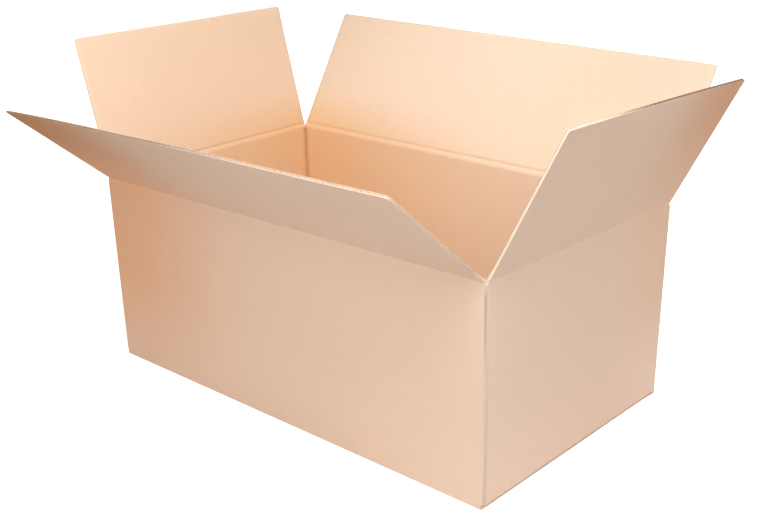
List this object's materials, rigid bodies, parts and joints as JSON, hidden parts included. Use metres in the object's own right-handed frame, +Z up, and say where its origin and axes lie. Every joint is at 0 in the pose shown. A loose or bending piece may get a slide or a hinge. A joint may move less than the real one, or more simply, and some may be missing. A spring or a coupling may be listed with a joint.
{
  "type": "open cardboard box",
  "caption": "Plain single-wall corrugated shipping box, erected with its bottom glued shut, standing open with its top flaps folded outwards.",
  "frame": {"origin": "middle of the base, on the surface that the box stands on", "axes": "+Z up, +X along the box's length, +Y across it towards the back wall"},
  "size_m": [0.7422, 0.5873, 0.4259],
  "materials": {
    "kraft_board": "matte natural kraft paper liner"
  },
  "bodies": {
    "carton": {"carton_body": "kraft_board"},
    "front_flap": {"front_flap": "kraft_board"},
    "back_flap": {"back_flap": "kraft_board"},
    "left_flap": {"left_flap": "kraft_board"},
    "right_flap": {"right_flap": "kraft_board"}
  },
  "joints": [
    {"name": "front_flap_crease", "type": "hinge", "parent": "carton", "child": "front_flap", "pos_m": [0, -0.178, 0.254], "axis": [-1, 0, 0], "range_deg": [-114.7, 140.3]},
    {"name": "back_flap_crease", "type": "hinge", "parent": "carton", "child": "back_flap", "pos_m": [0, 0.178, 0.254], "axis": [1, 0, 0], "range_deg": [-132.9, 122.1]},
    {"name": "left_flap_crease", "type": "hinge", "parent": "carton", "child": "left_flap", "pos_m": [-0.305, 0, 0.2494], "axis": [0, 1, 0], "range_deg": [-149.1, 105.9]},
    {"name": "right_flap_crease", "type": "hinge", "parent": "carton", "child": "right_flap", "pos_m": [0.305, 0, 0.2494], "axis": [0, -1, 0], "range_deg": [-138.2, 116.8]}
  ]
}
